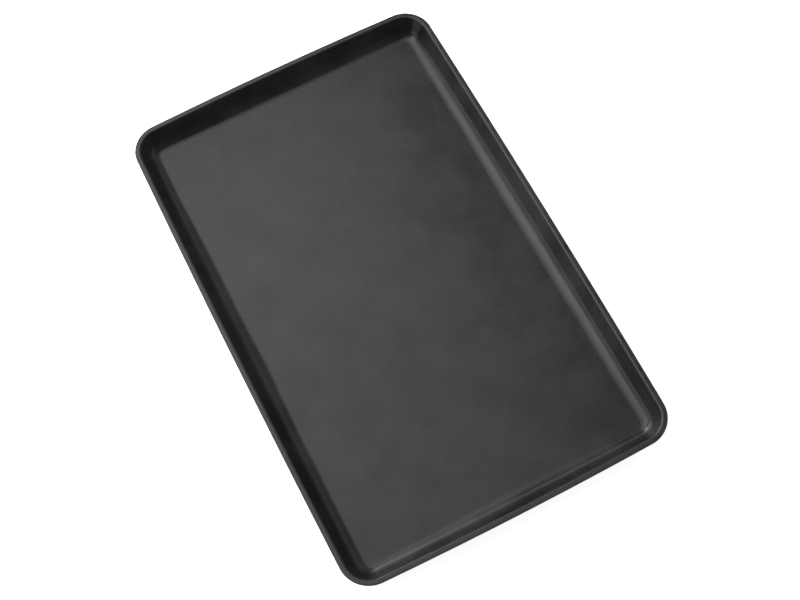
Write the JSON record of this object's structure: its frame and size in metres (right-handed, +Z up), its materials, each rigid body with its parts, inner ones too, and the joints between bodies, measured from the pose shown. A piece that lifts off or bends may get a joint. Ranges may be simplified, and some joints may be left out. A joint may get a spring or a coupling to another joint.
{
  "type": "oil drain pan",
  "caption": "Shallow rectangular oil drip tray, formed in one piece from plastic sheet, with a flat floor, leaning walls, rounded corners and a narrow flat rim.",
  "frame": {"origin": "on the resting face, under the middle of the floor", "axes": "+Z up out of the tray, +Y along its longer side"},
  "size_m": [0.4, 0.635, 0.025],
  "materials": {
    "black_plastic": "matt black, fine even grain, slightly shinier where the mould was smooth"
  },
  "bodies": {
    "root": {"pan_body": "black_plastic"}
  },
  "joints": []
}
